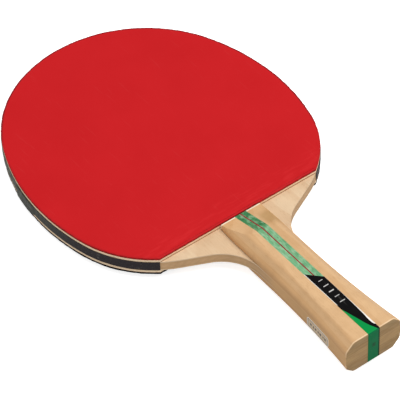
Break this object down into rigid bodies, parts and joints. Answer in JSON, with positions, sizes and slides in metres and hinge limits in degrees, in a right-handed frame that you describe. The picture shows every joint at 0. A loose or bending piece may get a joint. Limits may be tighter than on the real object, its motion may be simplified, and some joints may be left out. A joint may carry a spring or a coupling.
{
  "type": "table tennis paddle",
  "caption": "Table tennis paddle with a laminated wooden blade, red and black sponge rubbers, edge tape and a flared handle with striped scales and plain labels.",
  "frame": {"origin": "middle of the paddle's length, width and thickness, on the mid-plane of the blade", "axes": "+Y from the butt to the tip of the blade, +Z out of the forehand (red) face, +X across the blade to the right"},
  "size_m": [0.1506, 0.2566, 0.0205],
  "materials": {
    "core_wood": "bare edge, open grain",
    "inner_wood": "bare edge, fine grain",
    "face_wood": "sanded, very light sealer",
    "scale_wood": "sanded and waxed",
    "dyed_stripe": "dyed wood, waxed",
    "stripe_line": "dyed wood, waxed",
    "glue": "dry latex film",
    "sponge": "open-cell cut edge",
    "red_rubber": "smooth, slightly grippy, satin",
    "black_rubber": "smooth, slightly grippy, satin",
    "tape": "woven-backed edge tape, matt",
    "handle_label": "printed film, satin",
    "side_label": "printed film, satin"
  },
  "bodies": {
    "root": {"backhand_glue_film": "glue", "backhand_inner_ply": "inner_wood", "backhand_left_scale": "scale_wood", "backhand_left_stripe": "dyed_stripe", "backhand_outer_ply": "face_wood", "backhand_right_scale": "scale_wood", "backhand_right_stripe": "dyed_stripe", "backhand_sponge": "sponge", "backhand_stripe_line": "stripe_line", "backhand_topsheet": "black_rubber", "core_ply": "core_wood", "edge_tape": "tape", "forehand_glue_film": "glue", "forehand_inner_ply": "inner_wood", "forehand_left_scale": "scale_wood", "forehand_left_stripe": "dyed_stripe", "forehand_outer_ply": "face_wood", "forehand_right_scale": "scale_wood", "forehand_right_stripe": "dyed_stripe", "forehand_sponge": "sponge", "forehand_stripe_line": "stripe_line", "forehand_topsheet": "red_rubber", "handle_label": "handle_label", "side_label": "side_label"}
  },
  "joints": []
}
